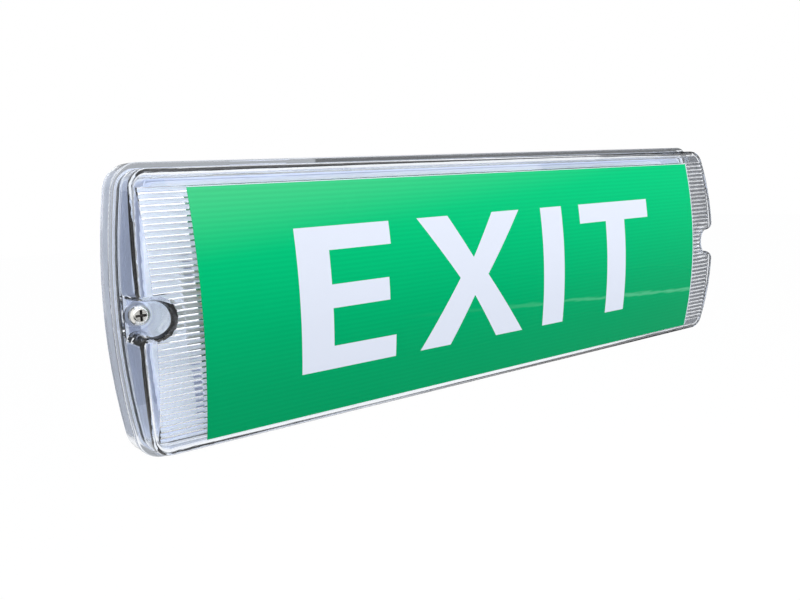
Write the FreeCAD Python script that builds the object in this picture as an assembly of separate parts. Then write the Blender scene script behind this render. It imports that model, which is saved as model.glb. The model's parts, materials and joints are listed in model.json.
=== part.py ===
"""Emergency exit light: a weatherproof wall-mounted bulkhead fitting with a clear, ribbed cover.

The frame is in millimetres. The origin is the middle of the flat back face, where the fitting
meets the wall: X runs along its length, Y from the front (-Y) to the wall (Y = 0), and Z is up.
A back box holds the battery and the driver, a gear tray over them carries the strip of
light-emitting diodes, and a domed clear cover closes the front on a seal, held by one screw at
each end. A sprung test button comes out of the underside.
"""

import FreeCAD, Part

import math
import os

from FreeCAD import Vector

# ---------------------------------------------------------------- clear cover
cover_length = 355.0          # over the skirt
cover_height = 110.6          # over the skirt
total_depth = 65.0            # wall to the crown of the arched front
cover_wall = 2.2
skirt_wall = 1.8
skirt_depth = 9.4             # ledge back to the skirt's rear edge
end_bow_radius = 278.0        # plan curve of the skirt's two ends
corner_radius = 10.8          # plan corners of the skirt
ledge_setback = 18.8          # crown of the arch back to the ledge round the dome
ledge_width_ends = 3.3
ledge_width_sides = 2.4
bead_width = 1.7              # raised rim on the ledge's outer edge
bead_height = 0.7
bead_round = 0.9
front_arch_radius = 203.4     # front face, curved about an axis along X
side_lean = 0.5               # long walls lean in over the dome's depth
end_lean = 1.2                # end walls lean in over the same depth
front_bow_radius = 450.0      # plan curve of the ends at the front
dome_corner_radius = 7.2
front_edge_round = 4.7
rib_pitch = 2.2               # light-spreading ribs inside the front wall
rib_height = 0.7
rib_recess = 0.05             # the ribs' crests below the smooth border
rib_margin = 5.0              # smooth border between the ribs and the dome's ends
rib_border = 6.0              # and its long sides
tongue_width = 1.2            # rib behind the ledge that presses on the seal
tongue_inset = 4.0            # from the skirt's outer face to the tongue's middle
pocket_floor_radius = 5.4     # screw pockets: a round well, open to the end above a low lip
pocket_mouth_radius = 6.6
pocket_lip_height = 2.0
pocket_flare = 4.0

# ---------------------------------------------------------------- legend film
film_margin_ends = 22.1       # from the dome's ends
film_margin_sides = 5.2       # and from its long walls
film_thickness = 0.16
film_glue = 0.04              # clear adhesive between the film and the cover
film_drop = 1.5               # its middle sits this far below the cover's

# ---------------------------------------------------------------- back box
box_wall = 2.2
box_floor = 3.0
box_draw_ends = 10.4          # how far the box narrows from its rim to its flat back
box_draw_sides = 5.7
box_back_corner = 8.0
box_back_round = 2.0
skirt_clearance = 0.3         # skirt's inside to the rim
rim_front_gap = 1.0           # rim's front to the back of the ledge
rim_depth = 8.0
rim_width = 4.2
groove_width = 2.0
groove_depth = 2.0

# ---------------------------------------------------------------- seal and cover screws
seal_width = 1.8
screw_inset = 9.5             # skirt's end to the cover screw's axis
screw_thread_radius = 1.8
screw_hole_radius = 2.25
screw_head_radius = 4.0
screw_head_height = 2.9
screw_reach = 7.0             # screw's length inside its insert
recess_width = 0.9            # cross recess
recess_span = 4.2
recess_depth = 1.5
washer_thickness = 0.6
washer_radius = 3.7
boss_radius = 4.6
boss_floor = 3.0               # plastic beyond the insert
insert_radius = 2.8
insert_length = 9.0
insert_sink = 3.4             # insert's front below the boss's face

# ---------------------------------------------------------------- wall fixings and cable entries
fixing_spacing = 260.0
fixing_hole_radius = 2.6
fixing_pad_radius = 7.0
fixing_pad_height = 4.0
supply_x = -88.0
supply_z = -24.0
entry_radius = 10.2           # openings for a 20 mm entry
entry_recess_radius = 13.0
entry_recess_depth = 1.2
grommet_fit = 0.1
grommet_bore_radius = 3.6
grommet_nose_length = 8.0
conduit_x = -100.0
conduit_y = -17.0
conduit_pad_radius = 13.0
conduit_pad_height = 1.0
plug_flange_thickness = 2.0
plug_flange_overlap = 2.0
plug_stem_length = 8.0
plug_wall = 1.9
plug_slot_length = 12.0
plug_slot_width = 2.0
plug_slot_depth = 1.0
plug_fit = 0.1

# ---------------------------------------------------------------- gear tray and light strip
tray_front = -39.0            # y of the tray's white front
tray_wall = 1.5
tray_gap_ends = 0.9           # between the tray and the cover screws' bosses
tray_gap_sides = 1.0          # and the rim
tray_corner = 6.0
tray_rim_depth = 7.0
pillar_inset_ends = 42.5      # tray's edges to its screws
pillar_inset_sides = 10.0
pillar_radius = 3.5
small_screw_radius = 1.2
small_head_radius = 2.8
small_head_height = 1.8
small_screw_length = 9.0
slot_length = 12.0            # cable slots in the tray
slot_width = 4.0
slot_inset = 18.0             # from the tray's ends
slot_rise = 9.0
slot_fall = -30.0
strip_inset = 14.5            # from the tray's ends
strip_height = 22.0
board_thickness = 1.6
led_pitch = 20.0
led_size = (3.5, 0.8, 2.8)
strip_screw_count = 4
strip_screw_pitch = 80.0
strip_screw_rise = 7.0        # above the row of diodes
strip_screw_hole = 1.5

# ---------------------------------------------------------------- driver
driver_x = 68.0
driver_length = 96.0
driver_height = 60.0
driver_lift = 8.0             # board's back above the box's floor
standoff_radius = 3.0
standoff_inset = 5.0
core_shift = 4.0              # transformer, from the middle of the board
core_rise = 8.0
core_length = 20.0
core_height = 22.0
core_depth = 16.0
core_leg = 3.5
core_bridge = 3.5
bobbin_cheek = 3.0
bobbin_foot = 1.0
coil_gap = 0.3                # winding to the core's window
capacitor_cans = ((-26.0, 14.0, 5.0, 16.0), (-26.0, -2.0, 4.0, 12.0), (32.0, 14.0, 4.0, 12.0))
can_bevel = 0.7
fuse_shift = 34.0
fuse_fall = -6.0
fuse_radius = 2.6
fuse_length = 20.0
fuse_lift = 5.0
clip_width = 8.0
clip_length = 4.0
clip_height = 8.0
clip_spread = 7.5
chip_sizes = ((-10.0, -16.0, 10.0, 6.0), (8.0, -18.0, 6.0, 5.0), (-24.0, -18.0, 5.0, 5.0))
chip_height = 1.8
header_shift = -42.0
header_rises = (-14.0, 2.0, 16.0)
header_size = (6.0, 7.0, 8.0)

# ---------------------------------------------------------------- battery
cell_radius = 11.2
cell_length = 41.5
cell_count = 3
cell_gap = 0.8
cell_cap_radius = 4.0
cell_cap_height = 0.7
cell_bevel = 0.8
sleeve_wall = 0.3
sleeve_turn_in = 3.0           # how far the sleeve laps over the end cells
sleeve_overhang = 0.6
battery_x = -52.0
battery_inset = 23.3          # inside of the box's top to the battery's axis
cradle_height = 8.0
cradle_length = 5.0
cradle_width = 26.0
cradle_x = 44.0               # cradles either side of the battery's middle
strap_thickness = 1.2
strap_width = 7.0
strap_gap = 0.2
strap_foot = 6.0              # strap's foot beyond its legs, either side
strap_foot_thickness = 2.0
strap_inset = 14.0            # strap to the cradle beside it
battery_lift = 1.5            # battery above the box's floor

# ---------------------------------------------------------------- supply terminals
terminal_x = -50.0
terminal_z = -26.0
terminal_poles = 3
terminal_pitch = 10.0
terminal_depth = 14.0
terminal_height = 16.0
terminal_screw_radius = 2.0
terminal_screw_length = 4.0
terminal_screw_sink = 3.0
terminal_well_depth = 7.0
terminal_wire_width = 5.0     # square wire entries
terminal_wire_lift = 3.0
terminal_divider = 1.0        # slots between the poles

# ---------------------------------------------------------------- test switch and indicator
switch_x = 60.0
switch_y = -21.0
switch_flange_radius = 8.0
switch_flange_thickness = 1.5
switch_radius = 6.0
switch_pad_radius = 9.5
switch_pad_height = 1.2       # stands out of the tapered underside
pad_inner_height = 2.6        # and inside it, so that the nut seats flat
switch_depth = 20.0           # body above the flange
switch_nut_radius = 8.5
switch_nut_thickness = 2.5
button_radius = 4.0
button_clearance = 0.3
button_stand = 2.6            # button's tip below the flange at rest
button_travel = 2.0
shoulder_radius = 4.9
shoulder_thickness = 1.5
guide_length = 4.0            # narrow part of the switch's bore
stem_radius = 1.8
bridge_radius = 3.4
bridge_thickness = 0.5
contact_radius = 0.5
contact_spread = 2.4
spring_wire_radius = 0.3
spring_turns = 5
spring_sides = 8              # the wire's section is drawn with flats of the same area
indicator_x = 84.0
indicator_radius = 2.5
indicator_holder_radius = 4.0

# ---------------------------------------------------------------- worked-out places
y_apex = -total_depth
y_beyond = y_apex - 2.0                        # cutters end clear of the arch
y_ledge = y_apex + ledge_setback
y_ledge_back = y_ledge + cover_wall
y_skirt_back = y_ledge + skirt_depth
y_rim = y_ledge_back + rim_front_gap
y_floor = -box_floor
arch_axis_y = y_apex + front_arch_radius
screw_x = cover_length / 2 - screw_inset
FORWARD = Vector(0, -1, 0)                     # away from the wall


def outline(half_length, half_height, bow_radius, corner):
    return {"length": half_length, "height": half_height, "bow": bow_radius, "corner": corner}


def inset(shape, distance):
    """The same outline, moved inwards by a distance."""
    return {name: value - distance for name, value in shape.items()}


skirt = outline(cover_length / 2, cover_height / 2, end_bow_radius, corner_radius)
wall_foot = outline(skirt["length"] - ledge_width_ends, skirt["height"] - ledge_width_sides,
                    end_bow_radius - ledge_width_ends, dome_corner_radius)
wall_top = outline(wall_foot["length"] - end_lean, wall_foot["height"] - side_lean,
                   front_bow_radius, dome_corner_radius)
rim_outer = inset(skirt, skirt_wall + skirt_clearance)
rim_mouth = inset(rim_outer, rim_width)
box_back = outline(rim_outer["length"] - box_draw_ends, rim_outer["height"] - box_draw_sides,
                   end_bow_radius, box_back_corner)
tray_outline = outline(screw_x - boss_radius - tray_gap_ends, rim_mouth["height"] - tray_gap_sides,
                       end_bow_radius, tray_corner)
battery_z = box_back["height"] - box_wall - battery_inset
film_length = 2 * (wall_top["length"] - film_margin_ends)
film_height = 2 * (wall_top["height"] - film_margin_sides)


# ---------------------------------------------------------------- drawing helpers
def outline_wire(shape, y):
    """Closed wire in the plane at y: straight long sides, bowed ends, tangent round corners."""
    length, height, bow, corner = (shape[k] for k in ("length", "height", "bow", "corner"))
    bow_x = length - bow
    corner_z = height - corner
    corner_x = bow_x + math.sqrt((bow - corner) ** 2 - corner_z ** 2)
    turn = math.atan2(corner_z, corner_x - bow_x)
    half_turn = (turn + math.pi / 2) / 2

    def on_corner(angle, side_x, side_z):
        x = corner_x + corner * math.cos(angle)
        z = corner_z + corner * math.sin(angle)
        return Vector(side_x * x, y, side_z * z)

    def corner_arc(side_x, side_z, from_side):
        angles = (math.pi / 2, half_turn, turn) if from_side else (turn, half_turn, math.pi / 2)
        return Part.Arc(*(on_corner(a, side_x, side_z) for a in angles)).toShape()

    def end_arc(side_x, side_z):
        middle = Vector(side_x * length, y, 0)
        points = (on_corner(turn, side_x, side_z), middle, on_corner(turn, side_x, -side_z))
        return Part.Arc(*points).toShape()

    def long_line(side_x, side_z):
        start = on_corner(math.pi / 2, side_x, side_z)
        return Part.makeLine(start, on_corner(math.pi / 2, -side_x, side_z))

    edges = [
        long_line(-1, 1), corner_arc(1, 1, True), end_arc(1, 1), corner_arc(1, -1, False),
        long_line(1, -1), corner_arc(-1, -1, True), end_arc(-1, -1), corner_arc(-1, 1, False),
    ]
    return Part.Wire(edges)


def plate(shape, y_front, y_back):
    """Prism of an outline between two planes."""
    face = Part.Face(outline_wire(shape, y_front))
    return face.extrude(Vector(0, y_back - y_front, 0))


def ring(shape, width, y_front, y_back):
    """Band along an outline, that wide, inside it."""
    return plate(shape, y_front, y_back).cut(plate(inset(shape, width), y_front - 1, y_back + 1))


def taper(front, y_front, back, y_back):
    """Solid between two outlines, with straight drafted walls."""
    wires = [outline_wire(front, y_front), outline_wire(back, y_back)]
    return Part.makeLoft(wires, True, True)


def block(x, y, z):
    """Box from three (low, high) pairs."""
    return Part.makeBox(x[1] - x[0], y[1] - y[0], z[1] - z[0], Vector(x[0], y[0], z[0]))


def centred(middle, length):
    return (middle - length / 2, middle + length / 2)


def rod(radius, start, end):
    """Cylinder between two points."""
    axis = end.sub(start)
    return Part.makeCylinder(radius, axis.Length, start, axis)


def pin_y(radius, x, z, y_from, y_to):
    return rod(radius, Vector(x, y_from, z), Vector(x, y_to, z))


def pin_z(radius, x, y, z_from, z_to):
    return rod(radius, Vector(x, y, z_from), Vector(x, y, z_to))


def fuse_all(shapes):
    first, *rest = shapes
    return first.fuse(rest) if rest else first


def group(solids):
    return Part.makeCompound(solids)


def arch(radius):
    """Long cylinder whose front is the arched front face."""
    start = Vector(-cover_length / 2, arch_axis_y, 0)
    return Part.makeCylinder(radius, cover_length, start, Vector(1, 0, 0))


def arch_edges(solid, radius):
    """Edges round the arched face of that radius."""
    faces = [f for f in solid.Faces
             if isinstance(f.Surface, Part.Cylinder) and abs(f.Surface.Radius - radius) < 0.001]
    return [edge for face in faces for edge in face.Edges]


# ---------------------------------------------------------------- clear cover
def pocket(side, grow):
    """The space of a screw pocket, or with grow the solid that it is cut in."""
    x = side * screw_x
    far = side * cover_length / 2
    lean = (pocket_mouth_radius - pocket_floor_radius) / ledge_setback
    y_well = y_ledge + grow
    y_lip = y_ledge + (grow if grow else -pocket_lip_height)

    def half(y):
        return pocket_floor_radius + grow + lean * (y_ledge - y)

    def mouth(y):
        corners = [(x, -half(y)), (far, -half(y)), (far, half(y)), (x, half(y)), (x, -half(y))]
        return Part.makePolygon([Vector(corner_x, y, z) for corner_x, z in corners])

    well = Part.makeCone(half(y_well), half(y_beyond), y_well - y_beyond,
                         Vector(x, y_well, 0), FORWARD)
    channel = Part.makeLoft([mouth(y_lip), mouth(y_beyond)], True, True)
    return well.fuse(channel).removeSplitter()


def flared_mouth(dome):
    """Rounds the whole edge where the screw pockets open through the front and the ends."""
    reach = pocket_mouth_radius + 1.5
    deep = 3 * pocket_floor_radius
    y_lip = y_ledge - pocket_lip_height

    def bounds(edge):
        return edge.BoundBox

    def is_outside(face):
        return face.BoundBox.ZMax - face.BoundBox.ZMin > deep

    edges = []
    for edge in dome.Edges:
        box = bounds(edge)
        if max(abs(box.ZMax), abs(box.ZMin)) < reach and box.YMin < y_lip - 0.1:
            if sum(is_outside(face) for face in dome.ancestorsOfType(edge, Part.Face)) == 1:
                edges.append(edge)
    return dome.makeFillet(pocket_flare, edges)


def dome_outside():
    dome = taper(wall_top, y_beyond, wall_foot, y_ledge).common(arch(front_arch_radius))
    dome = dome.makeFillet(front_edge_round, arch_edges(dome, front_arch_radius))
    for side in (-1, 1):
        dome = dome.cut(pocket(side, 0.0))
    return flared_mouth(dome)


def rib_grooves():
    """Space between the light-spreading ribs: rounded ridges along X inside the front wall."""
    inner = front_arch_radius - cover_wall
    half_height = wall_top["height"] - rib_border
    half_length = wall_top["length"] - rib_margin
    count = int(2 * half_height / rib_pitch)
    step = rib_pitch / inner

    def on_arch(radius, angle):
        y = arch_axis_y - radius * math.cos(angle)
        return Vector(-half_length, y, radius * math.sin(angle))

    first = -count * step / 2
    crest_radius = inner + rib_recess
    valleys = [on_arch(crest_radius + rib_height, first + rib * step) for rib in range(count + 1)]
    crests = [on_arch(crest_radius, first + (rib + 0.5) * step) for rib in range(count)]
    ridges = [Part.Arc(*points).toShape() for points in zip(valleys, crests, valleys[1:])]
    inwards = Vector(0, 2 * rib_height, 0)
    back = [valleys[-1], valleys[-1].add(inwards), valleys[0].add(inwards), valleys[0]]
    sides = Part.makePolygon(back).Edges
    return Part.Face(Part.Wire(ridges + sides)).extrude(Vector(2 * half_length, 0, 0))


def dome_inside():
    inner_radius = front_arch_radius - cover_wall
    foot = inset(wall_foot, cover_wall)
    space = taper(inset(wall_top, cover_wall), y_beyond, foot, y_ledge).common(arch(inner_radius))
    space = space.makeFillet(front_edge_round - cover_wall, arch_edges(space, inner_radius))
    space = space.fuse([plate(foot, y_ledge, y_ledge_back + 1), rib_grooves()])
    for side in (-1, 1):
        space = space.cut(pocket(side, cover_wall))
    return space


def ledge_and_skirt():
    """Ledge with a raised bead round its outer edge, and the skirt behind it."""
    y_bead = y_ledge - bead_height
    solid = plate(skirt, y_bead, y_skirt_back)
    front = [e for e in solid.Edges
             if abs(e.BoundBox.YMin - y_bead) < 0.01 and abs(e.BoundBox.YMax - y_bead) < 0.01]
    solid = solid.makeFillet(bead_round, front)
    solid = solid.cut(plate(inset(skirt, bead_width), y_bead - 1, y_ledge))
    return solid.cut(plate(inset(skirt, skirt_wall), y_ledge_back, y_skirt_back + 1))


def build_cover():
    tongue_outer = inset(skirt, tongue_inset - tongue_width / 2)
    tongue = ring(tongue_outer, tongue_width, y_ledge_back - 0.5, y_seal_front)
    cover = ledge_and_skirt().fuse([dome_outside(), tongue]).cut(dome_inside())
    for side in (-1, 1):
        hole = pin_y(screw_hole_radius, side * screw_x, 0, y_beyond, y_skirt_back)
        cover = cover.cut(hole)
    return cover.removeSplitter()


def build_film():
    """Legend film on the arched front."""
    inner = front_arch_radius + film_glue
    sheet = arch(inner + film_thickness).cut(arch(inner))
    middle = -film_drop
    return sheet.common(block(centred(0, film_length), (y_apex - 1, y_ledge),
                              centred(middle, film_height)))


# ---------------------------------------------------------------- back box
y_groove = y_rim + groove_depth
y_seal_front = y_rim + 0.4
tray_back = tray_front + tray_wall


def box_solid():
    y_shoulder = y_rim + rim_depth
    body = taper(rim_outer, y_shoulder, box_back, 0)
    back = [e for e in body.Edges if e.BoundBox.YMin > -0.01]
    return plate(rim_outer, y_rim, y_shoulder).fuse(body.makeFillet(box_back_round, back))


def cell_axis_y():
    return y_floor - battery_lift - cell_radius - sleeve_wall


def cradle(x):
    saddle = block(centred(x, cradle_length), (y_floor - cradle_height, y_floor + 0.5),
                   centred(battery_z, cradle_width))
    axis_y = cell_axis_y()
    trough = rod(cell_radius + sleeve_wall + strap_gap, Vector(x - cradle_length, axis_y, battery_z),
                 Vector(x + cradle_length, axis_y, battery_z))
    return saddle.cut(trough)


def driver_corners():
    half_x = driver_length / 2 - standoff_inset
    half_z = driver_height / 2 - standoff_inset
    return [(driver_x + sx * half_x, sz * half_z) for sx in (-1, 1) for sz in (-1, 1)]


def pillar_places():
    x = tray_outline["length"] - pillar_inset_ends
    z = tray_outline["height"] - pillar_inset_sides
    return [(side_x * x, side_z * z) for side_x in (-1, 1) for side_z in (-1, 1)]


def underside(y):
    """Height of the tapered underside of the box at a depth y."""
    y_shoulder = y_rim + rim_depth
    share = (y - y_shoulder) / -y_shoulder
    return -(rim_outer["height"] + (box_back["height"] - rim_outer["height"]) * share)


z_pad = underside(switch_y) - switch_pad_height
z_pad_inside = underside(switch_y) + box_wall + pad_inner_height
z_conduit = -underside(conduit_y) + conduit_pad_height
y_driver = y_floor - driver_lift               # back of the driver board


def build_box():
    outside = box_solid()
    y_shoulder = y_rim + rim_depth
    space = plate(rim_mouth, y_rim - 1, y_shoulder)
    space = space.fuse(taper(rim_mouth, y_shoulder, inset(box_back, box_wall), y_floor))
    inside = []
    for side in (-1, 1):
        boss_end = y_ledge_back + insert_sink + insert_length + boss_floor
        boss = pin_y(boss_radius, side * screw_x, 0, y_ledge_back, boss_end)
        inside.append(boss)
        fixing_x = side * fixing_spacing / 2
        inside.append(pin_y(fixing_pad_radius, fixing_x, 0, y_floor - fixing_pad_height, y_floor))
        inside.append(cradle(battery_x + side * cradle_x))
    for x, z in pillar_places():
        inside.append(pin_y(pillar_radius, x, z, tray_back, y_floor + 0.5))
    for x, z in driver_corners():
        inside.append(pin_y(standoff_radius, x, z, y_driver, y_floor + 0.5))
    box = outside.cut(space).fuse(inside)
    pads = [
        pin_z(switch_pad_radius, switch_x, switch_y, z_pad, z_pad_inside),
        pin_z(indicator_holder_radius + 2, indicator_x, switch_y, z_pad, z_pad_inside),
        pin_z(conduit_pad_radius, conduit_x, conduit_y, z_conduit - 5, z_conduit),
    ]
    box = box.fuse(pads)
    outer_groove = inset(skirt, tongue_inset - groove_width / 2)
    cuts = [ring(outer_groove, groove_width, y_rim - 1, y_groove)]
    for side in (-1, 1):
        y_insert = y_ledge_back + insert_sink
        cuts.append(pin_y(screw_hole_radius, side * screw_x, 0, y_ledge_back - 1, y_insert + 1))
        cuts.append(pin_y(insert_radius, side * screw_x, 0, y_insert, y_insert + insert_length))
        fixing_x = side * fixing_spacing / 2
        cuts.append(pin_y(fixing_hole_radius, fixing_x, 0, y_floor - fixing_pad_height - 1, 1))
    for x, z in pillar_places():
        cuts.append(pin_y(small_screw_radius, x, z, tray_back - 1, tray_back + small_screw_length))
    for x, z in driver_corners():
        cuts.append(pin_y(small_screw_radius, x, z, y_driver - 1, y_driver + small_screw_length - 2))
    cuts += [
        pin_y(entry_radius, supply_x, supply_z, y_floor - 1, 1),
        pin_y(entry_recess_radius, supply_x, supply_z, -entry_recess_depth, 1),
        pin_z(entry_radius, conduit_x, conduit_y, z_conduit - 10, z_conduit + 1),
        pin_z(switch_radius, switch_x, switch_y, z_pad - 1, z_pad_inside + 1),
        pin_z(indicator_holder_radius, indicator_x, switch_y, z_pad - 1, z_pad_inside + 1),
        pin_z(switch_pad_radius, switch_x, switch_y, z_pad - 5, z_pad),
        pin_z(indicator_holder_radius + 2, indicator_x, switch_y, z_pad - 5, z_pad),
        pin_z(conduit_pad_radius, conduit_x, conduit_y, z_conduit, z_conduit + 5),
    ]
    return box.cut(cuts).removeSplitter()


# ---------------------------------------------------------------- seal, screws, entries
def build_seal():
    return ring(inset(skirt, tongue_inset - seal_width / 2), seal_width, y_seal_front, y_groove)


def both_ends(make):
    return group([make(side * screw_x) for side in (-1, 1)])


def cover_screw(x):
    """Pan-head screw with a cross recess."""
    y_seat = y_ledge - washer_thickness
    y_top = y_seat - screw_head_height
    head = pin_y(screw_head_radius, x, 0, y_top, y_seat)
    crown = [e for e in head.Edges if e.BoundBox.YMax < y_top + 0.01]
    head = head.makeFillet(screw_head_height * 0.6, crown)
    shank = pin_y(screw_thread_radius, x, 0, y_seat - 0.5, y_ledge_back + insert_sink + screw_reach)
    y_deep = y_top + recess_depth
    slots = [block(centred(x, a), (y_top - 1, y_deep), centred(0, b))
             for a, b in ((recess_span, recess_width), (recess_width, recess_span))]
    return head.fuse(shank).cut(slots)


def sealing_washer(x):
    solid = pin_y(washer_radius, x, 0, y_ledge - washer_thickness, y_ledge)
    return solid.cut(pin_y(screw_thread_radius, x, 0, y_ledge - 5, y_ledge + 5))


def threaded_insert(x):
    y_front = y_ledge_back + insert_sink
    solid = pin_y(insert_radius, x, 0, y_front, y_front + insert_length)
    return solid.cut(pin_y(screw_thread_radius, x, 0, y_front - 1, y_front + insert_length + 1))


def build_grommet():
    """Rubber grommet for the supply cable, in the back wall."""
    body_radius = entry_radius - grommet_fit
    profile = [
        (grommet_bore_radius, -0.1), (entry_recess_radius - 0.4, -0.1),
        (entry_recess_radius - 0.4, -entry_recess_depth), (body_radius, -entry_recess_depth),
        (body_radius, y_floor), (entry_radius + 2, y_floor), (entry_radius + 1.2, y_floor - 1.6),
        (grommet_bore_radius + 2.5, y_floor - 2.2),
        (grommet_bore_radius + 1.2, y_floor - grommet_nose_length),
        (grommet_bore_radius, y_floor - grommet_nose_length),
    ]
    points = [Vector(supply_x + r, y, supply_z) for r, y in profile + profile[:1]]
    face = Part.Face(Part.makePolygon(points))
    return face.revolve(Vector(supply_x, 0, supply_z), Vector(0, 1, 0), 360)


def build_plug():
    """Blanking plug in the top conduit entry, with a coin slot."""
    z_top = z_conduit + plug_flange_thickness
    z_end = z_conduit - plug_stem_length
    flange = pin_z(entry_radius + plug_flange_overlap, conduit_x, conduit_y, z_conduit, z_top)
    rim = [e for e in flange.Edges if e.BoundBox.ZMin > z_top - 0.01]
    flange = flange.makeFillet(plug_flange_thickness * 0.3, rim)
    plug_radius = entry_radius - plug_fit
    stem = pin_z(plug_radius, conduit_x, conduit_y, z_end, z_conduit + 0.5)
    hollow = pin_z(plug_radius - plug_wall, conduit_x, conduit_y, z_end - 1, z_conduit - 1)
    slot = block(centred(conduit_x, plug_slot_length), centred(conduit_y, plug_slot_width),
                 (z_top - plug_slot_depth, z_top + 1))
    return flange.fuse(stem).cut([hollow, slot])


# ---------------------------------------------------------------- gear tray and light strip
def small_screw(x, z, y_seat, shank):
    """Small pan-head screw driven along +Y."""
    head = pin_y(small_head_radius, x, z, y_seat - small_head_height, y_seat)
    crown = [e for e in head.Edges if e.BoundBox.YMax < y_seat - small_head_height + 0.01]
    head = head.makeFillet(small_head_height * 0.55, crown)
    return head.fuse(pin_y(small_screw_radius - 0.02, x, z, y_seat - 0.5, y_seat + shank))


def strip_screw_x():
    return [(i - (strip_screw_count - 1) / 2) * strip_screw_pitch for i in range(strip_screw_count)]


def tray_slot(x, z):
    return block(centred(x, slot_width), (tray_front - 1, tray_back + 1), centred(z, slot_length))


def build_tray():
    tray = plate(tray_outline, tray_front, tray_back + tray_rim_depth)
    front = [e for e in tray.Edges if e.BoundBox.YMax < tray_front + 0.01]
    tray = tray.makeFillet(1.2, front)
    hollow = plate(inset(tray_outline, tray_wall), tray_back, tray_back + tray_rim_depth + 1)
    cuts = [hollow]
    cuts += [pin_y(strip_screw_hole, x, z, tray_front - 1, tray_back + 1) for x, z in pillar_places()]
    slot_x = tray_outline["length"] - slot_inset
    cuts += [tray_slot(side * slot_x, z) for side in (-1, 1) for z in (slot_rise, slot_fall)]
    cuts += [pin_y(small_screw_radius, x, strip_screw_rise, tray_front - 1, tray_back + 1)
             for x in strip_screw_x()]
    return tray.cut(cuts)


def build_tray_screws():
    return group([small_screw(x, z, tray_front, small_screw_length) for x, z in pillar_places()])


y_strip = tray_front - board_thickness
strip_length = 2 * (tray_outline["length"] - strip_inset)


def build_strip():
    board = block(centred(0, strip_length), (y_strip, tray_front), centred(0, strip_height))
    holes = [pin_y(strip_screw_hole, x, strip_screw_rise, y_strip - 1, tray_front + 1)
             for x in strip_screw_x()]
    return board.cut(holes)


def build_leds():
    led_count = int((strip_length - led_pitch / 2) // led_pitch) + 1
    places = [(i - (led_count - 1) / 2) * led_pitch for i in range(led_count)]
    length, depth, height = led_size
    return group([block(centred(x, length), (y_strip - depth, y_strip), centred(0, height)) for x in places])


def build_strip_screws():
    length = board_thickness + tray_wall + 2
    return group([small_screw(x, strip_screw_rise, y_strip, length) for x in strip_screw_x()])


# ---------------------------------------------------------------- driver
y_driver_front = y_driver - board_thickness


def build_driver_board():
    board = block(centred(driver_x, driver_length), (y_driver_front, y_driver), centred(0, driver_height))
    return board.cut([pin_y(strip_screw_hole, x, z, y_driver_front - 1, y_driver + 1)
                      for x, z in driver_corners()])


def build_driver_screws():
    return group([small_screw(x, z, y_driver_front, small_screw_length - 3) for x, z in driver_corners()])


core_x = driver_x + core_shift


def core_windows(margin, length):
    """The two openings of the ferrite core, or with a margin what fills them."""
    half_window = core_height / 2 - core_leg
    middle = core_leg / 2
    y_front = y_driver_front - bobbin_foot - core_depth + core_bridge
    y_back = y_driver_front - bobbin_foot - core_bridge
    y = (y_front + margin, y_back - margin)
    rises = [(core_rise - half_window, core_rise - middle), (core_rise + middle, core_rise + half_window)]
    return [block(centred(core_x, length), y, (low + margin, high - margin)) for low, high in rises]


def build_transformer():
    """Ferrite core with a window either side of its middle leg."""
    y_back = y_driver_front - bobbin_foot
    core = block(centred(core_x, core_length), (y_back - core_depth, y_back),
                 centred(core_rise, core_height))
    return core.cut(core_windows(0, 2 * core_length))


def build_bobbin():
    """Bobbin with its winding through the core's windows and round both ends."""
    y_cheek = y_driver_front - bobbin_foot - core_depth + core_bridge / 2
    x_cheek = (core_length + bobbin_cheek) / 2
    foot = block(centred(core_x, core_length + 2 * bobbin_cheek),
                 (y_driver_front - bobbin_foot, y_driver_front),
                 centred(core_rise, core_height))
    cheeks = [block(centred(core_x + side * x_cheek, bobbin_cheek), (y_cheek, y_driver_front),
                    centred(core_rise, core_height - core_leg)) for side in (-1, 1)]
    return fuse_all([foot, *cheeks, *core_windows(coil_gap, core_length + bobbin_cheek)])


def build_capacitors():
    cans = []
    for shift, rise, radius, height in capacitor_cans:
        can = pin_y(radius, driver_x + shift, rise, y_driver_front - height, y_driver_front)
        top = [e for e in can.Edges if e.BoundBox.YMax < y_driver_front - height + 0.01]
        cans.append(can.makeChamfer(can_bevel, top))
    return group(cans)


y_fuse = y_driver_front - fuse_lift


def fuse_rod(middle, length):
    x = driver_x + fuse_shift
    return rod(fuse_radius, Vector(x, y_fuse, middle - length / 2), Vector(x, y_fuse, middle + length / 2))


def build_fuse():
    return fuse_rod(fuse_fall, fuse_length)


def build_fuse_clips():
    """Pair of spring clips that hold the fuse's caps."""
    x = driver_x + fuse_shift
    clips = []
    for side in (-1, 1):
        z = fuse_fall + side * clip_spread
        clip = block(centred(x, clip_width), (y_driver_front - clip_height, y_driver_front),
                     centred(z, clip_length))
        slot = block(centred(x, 1.6 * fuse_radius), (y_driver_front - 2 * clip_height, y_fuse),
                     centred(z, 2 * clip_length))
        clips.append(clip.cut([fuse_rod(z, 2 * clip_length), slot]))
    return group(clips)


def build_chips():
    return group([block(centred(driver_x + shift, length), (y_driver_front - chip_height, y_driver_front),
                        centred(rise, height)) for shift, rise, length, height in chip_sizes])


def build_headers():
    """Pin headers for the battery, strip and switch leads."""
    length, depth, height = header_size
    return group([block(centred(driver_x + header_shift, length), (y_driver_front - depth, y_driver_front),
                        centred(rise, height)) for rise in header_rises])


# ---------------------------------------------------------------- battery
def battery_span():
    return cell_count * cell_length + (cell_count - 1) * cell_gap


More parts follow.
